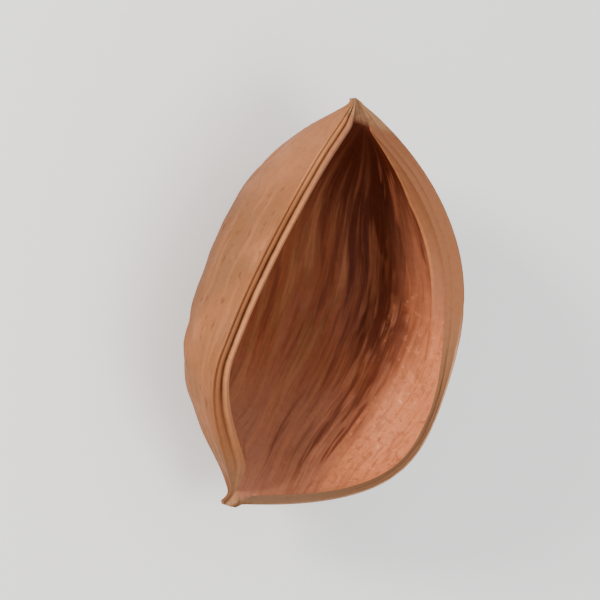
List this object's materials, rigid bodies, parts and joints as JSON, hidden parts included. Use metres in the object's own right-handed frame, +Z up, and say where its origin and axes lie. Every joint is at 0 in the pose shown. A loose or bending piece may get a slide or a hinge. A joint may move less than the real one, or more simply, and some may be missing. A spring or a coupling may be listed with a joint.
{
  "type": "land lotus pod",
  "caption": "Dried woody half-shell of a seed pod, boat shaped with a beaked tip and a ridged rim, lying on its back with its hollow up.",
  "frame": {"origin": "middle of the small worn flat spot under the belly, on which the shell rests", "axes": "+Z up out of the hollow, +X along the shell from the stem end to the beaked tip, +Y towards the narrower half of the rim, to the left when looking from the stem to the tip"},
  "size_m": [0.0573, 0.0413, 0.021],
  "materials": {
    "husk": "dry satin husk, fibrous"
  },
  "bodies": {
    "root": {"pod_shell": "husk"}
  },
  "joints": []
}
